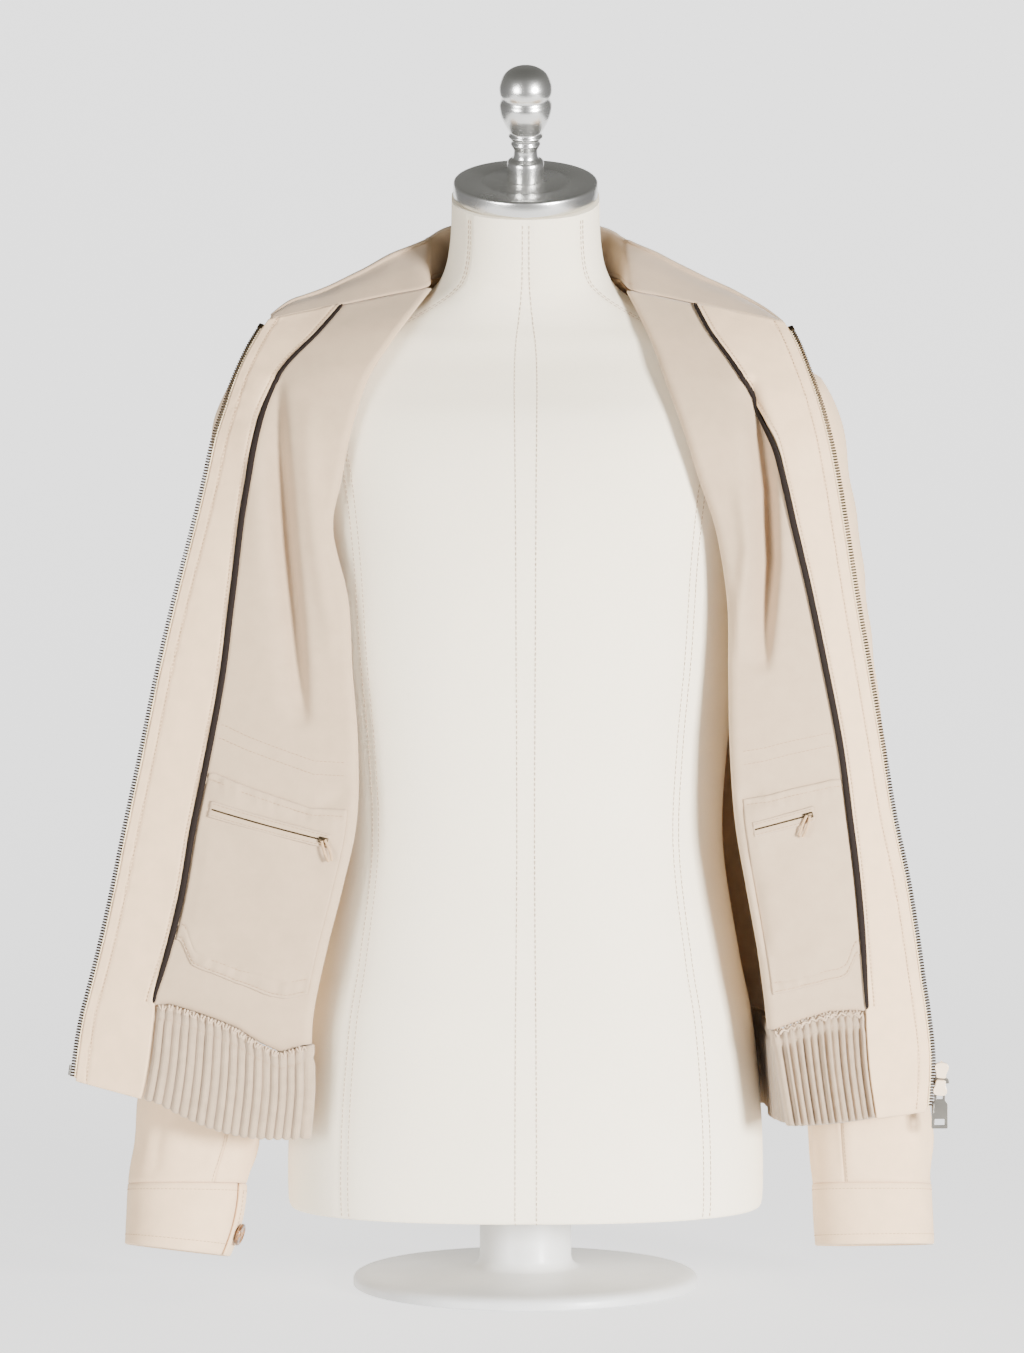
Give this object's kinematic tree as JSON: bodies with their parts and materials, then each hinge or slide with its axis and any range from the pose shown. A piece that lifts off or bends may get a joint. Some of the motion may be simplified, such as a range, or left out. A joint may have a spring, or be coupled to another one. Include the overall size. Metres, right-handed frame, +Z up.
{
  "type": "open zip blouson coat on a limbless dress form",
  "caption": "Wool zip blouson worn open on a limbless dress form, both fronts turned back, with a laid-open collar, ribbed hem, inner zip pockets, buttoned cuffs and a low round foot.",
  "frame": {"origin": "on the ground, under the middle of the form's foot", "axes": "+Z up; the form faces -Y; the wearer's right is -X"},
  "size_m": [0.642, 0.2625, 0.9012],
  "materials": {
    "wool": "fine matt woven wool",
    "rib": "wool rib knit",
    "binding": "dark brown satin binding",
    "tape": "woven zip tape with metal teeth",
    "enamel": "cream enamel, satin",
    "gunmetal": "dull gunmetal",
    "leather": "smooth tan leather",
    "horn": "mottled dark horn look",
    "canvas": "cream cotton canvas",
    "nickel": "satin nickel, turned",
    "foot": "light grey satin"
  },
  "bodies": {
    "coat_on_form": {"form_body": "canvas", "form_neck_plate": "nickel", "form_finial": "nickel", "form_foot": "foot", "back": "wool", "collar": "wool", "front_right": "wool", "front_left": "wool", "facing_right": "wool", "facing_left": "wool", "binding_right": "binding", "binding_left": "binding", "pocket_right": "wool", "pocket_left": "wool", "pocket_zip_right": "wool", "pocket_zip_left": "wool", "pocket_pull_right": "leather", "pocket_pull_left": "leather", "zip_tape_right": "tape", "zip_tape_left": "tape", "sleeve_top_right": "wool", "sleeve_top_left": "wool", "sleeve_under_right": "wool", "sleeve_under_left": "wool", "cuff_right": "wool", "cuff_left": "wool", "cuff_button_right": "horn", "cuff_button_left": "horn", "hem_rib_right": "rib", "hem_rib_left": "rib", "zip_pin_right": "gunmetal", "zip_pin_left": "gunmetal", "hem_rib_back": "rib", "zip_slider_upper": "enamel", "zip_slider_lower": "enamel", "zip_bridge_upper": "enamel", "zip_bridge_lower": "enamel"},
    "upper_pull_tab": {"zip_tab_upper": "gunmetal"},
    "lower_pull_tab": {"zip_tab_lower": "gunmetal"}
  },
  "joints": [
    {"name": "upper_tab_swing", "type": "hinge", "parent": "coat_on_form", "child": "upper_pull_tab", "pos_m": [0.30295, -0.07211, 0.17068], "axis": [1, 0, 0], "range_deg": [0, 150]},
    {"name": "lower_tab_swing", "type": "hinge", "parent": "coat_on_form", "child": "lower_pull_tab", "pos_m": [0.30201, -0.07212, 0.15324], "axis": [1, 0, 0], "range_deg": [0, 150]}
  ]
}
